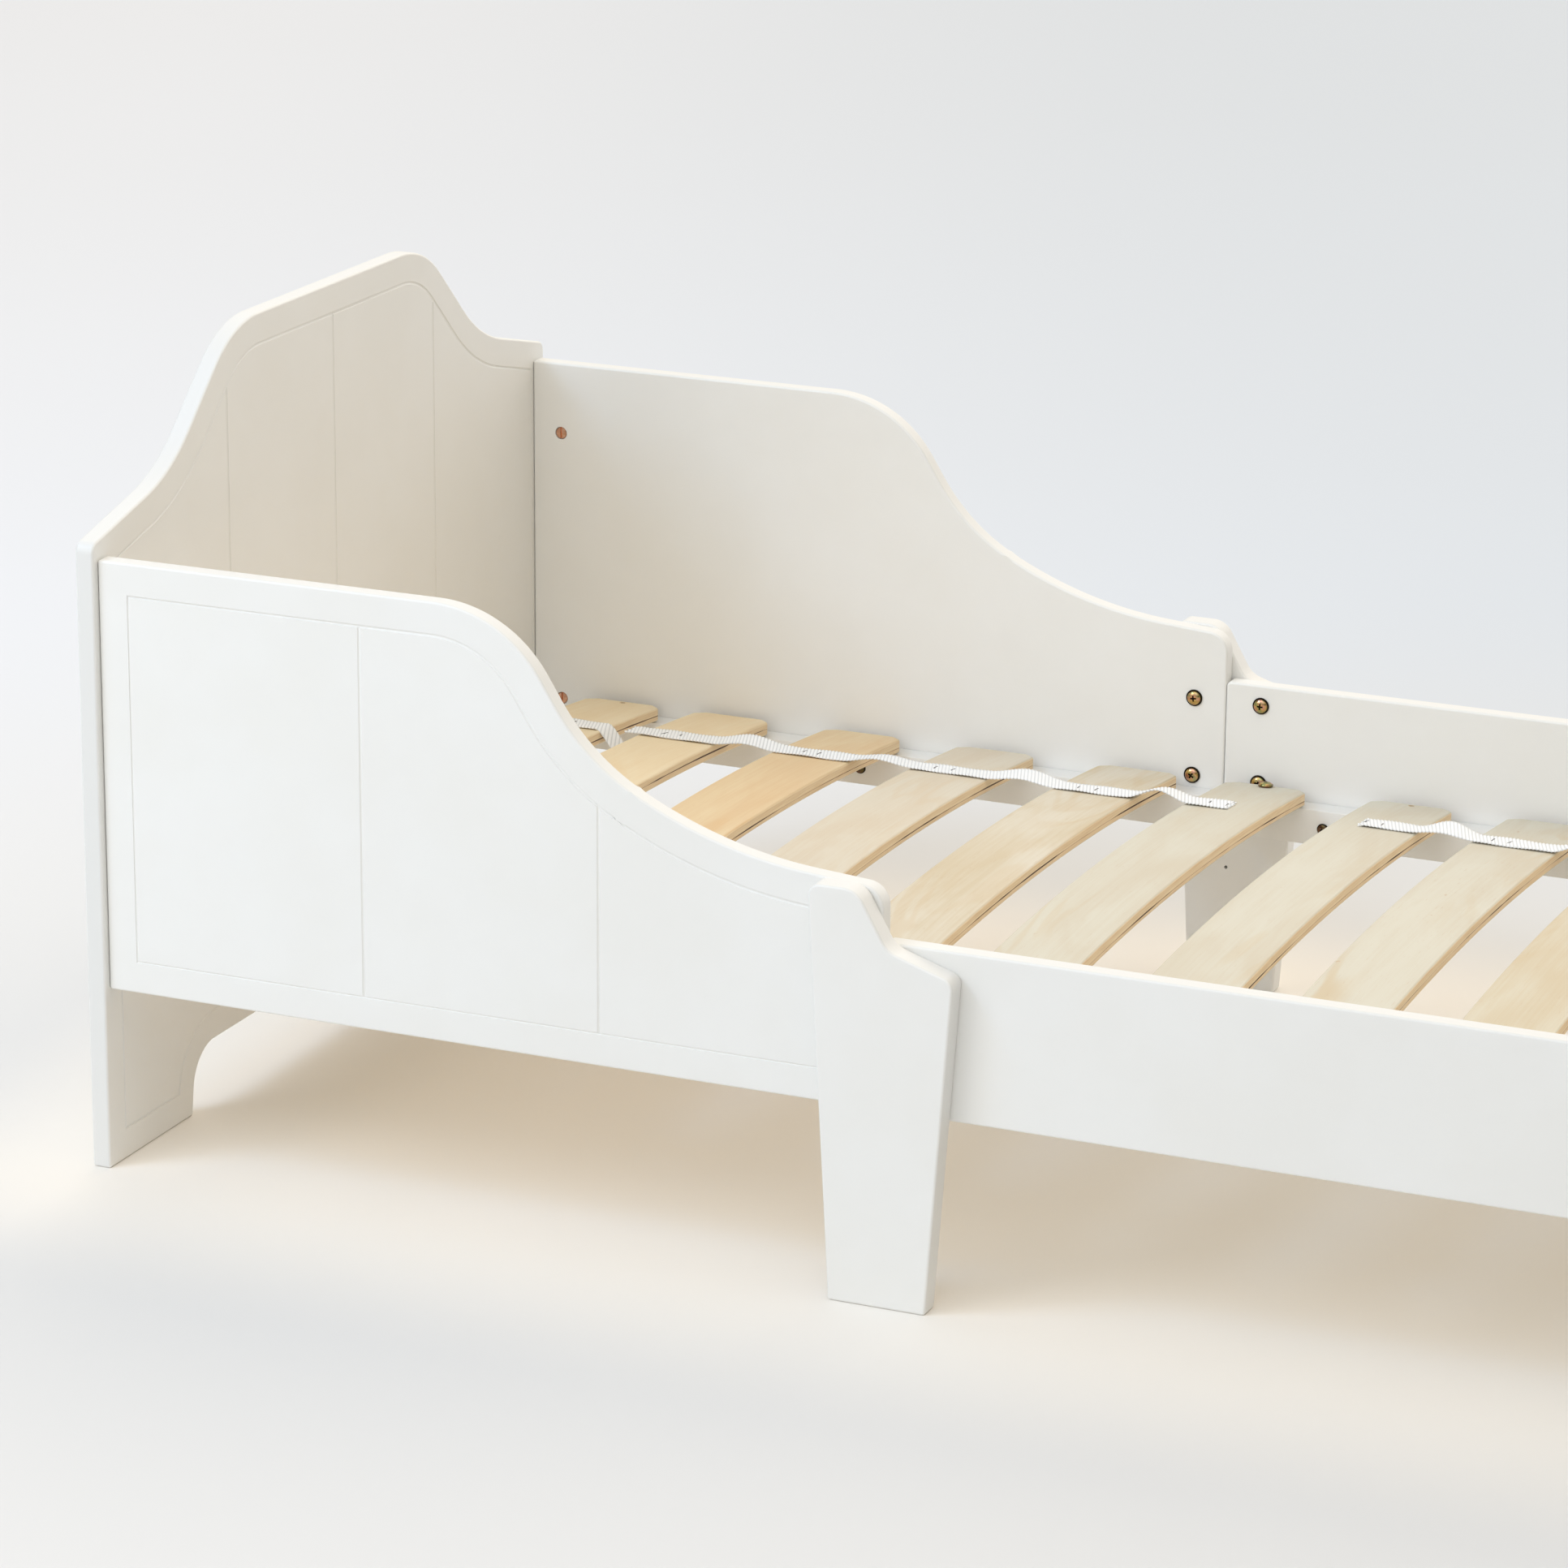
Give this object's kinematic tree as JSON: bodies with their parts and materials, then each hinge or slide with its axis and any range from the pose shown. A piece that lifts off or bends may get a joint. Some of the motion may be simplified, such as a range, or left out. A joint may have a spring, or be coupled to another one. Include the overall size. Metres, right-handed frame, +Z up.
{
  "type": "toddler bed",
  "caption": "Low painted board bed with a curved headboard, raised ogee sides at the head, tapered mid legs and taped bent slats.",
  "frame": {"origin": "on the floor under the middle of the bed", "axes": "+X from the headboard to the footboard, +Y across to the back long side, +Z up"},
  "size_m": [1.4606, 0.7846, 0.612],
  "materials": {
    "white_paint": "satin white lacquer on MDF board",
    "birch_ply": "sanded, clear sealed bent ply with layered edges",
    "webbing": "white twill woven tape",
    "yellow_zinc": "yellow passivated zinc on steel",
    "copper_zinc": "copper coloured zinc plate"
  },
  "bodies": {
    "root": {"barrel_nut_foot_back_lower": "copper_zinc", "barrel_nut_foot_back_upper": "copper_zinc", "barrel_nut_foot_front_lower": "copper_zinc", "barrel_nut_foot_front_upper": "copper_zinc", "barrel_nut_head_back_lower": "copper_zinc", "barrel_nut_head_back_upper": "copper_zinc", "barrel_nut_head_front_lower": "copper_zinc", "barrel_nut_head_front_upper": "copper_zinc", "connector_bolt_foot_back_lower": "yellow_zinc", "connector_bolt_foot_back_upper": "yellow_zinc", "connector_bolt_foot_front_lower": "yellow_zinc", "connector_bolt_foot_front_upper": "yellow_zinc", "connector_bolt_head_back_lower": "yellow_zinc", "connector_bolt_head_back_upper": "yellow_zinc", "connector_bolt_head_front_lower": "yellow_zinc", "connector_bolt_head_front_upper": "yellow_zinc", "foot_rail_back": "white_paint", "foot_rail_front": "white_paint", "footboard": "white_paint", "headboard": "white_paint", "leg_screw_panel_back_lower": "yellow_zinc", "leg_screw_panel_back_upper": "yellow_zinc", "leg_screw_panel_front_lower": "yellow_zinc", "leg_screw_panel_front_upper": "yellow_zinc", "leg_screw_rail_back_lower": "yellow_zinc", "leg_screw_rail_back_upper": "yellow_zinc", "leg_screw_rail_front_lower": "yellow_zinc", "leg_screw_rail_front_upper": "yellow_zinc", "mid_leg_back": "white_paint", "mid_leg_front": "white_paint", "side_panel_back": "white_paint", "side_panel_front": "white_paint", "slat_01": "birch_ply", "slat_02": "birch_ply", "slat_03": "birch_ply", "slat_04": "birch_ply", "slat_05": "birch_ply", "slat_06": "birch_ply", "slat_07": "birch_ply", "slat_08": "birch_ply", "slat_09": "birch_ply", "slat_10": "birch_ply", "slat_11": "birch_ply", "slat_12": "birch_ply", "slat_ledge_foot_back": "white_paint", "slat_ledge_foot_front": "white_paint", "slat_ledge_head_back": "white_paint", "slat_ledge_head_front": "white_paint", "slat_screw_06_back": "yellow_zinc", "slat_screw_06_front": "yellow_zinc", "slat_screw_12_back": "yellow_zinc", "slat_screw_12_front": "yellow_zinc", "webbing_tape_foot_back": "webbing", "webbing_tape_foot_front": "webbing", "webbing_tape_head_back": "webbing", "webbing_tape_head_front": "webbing"}
  },
  "joints": []
}
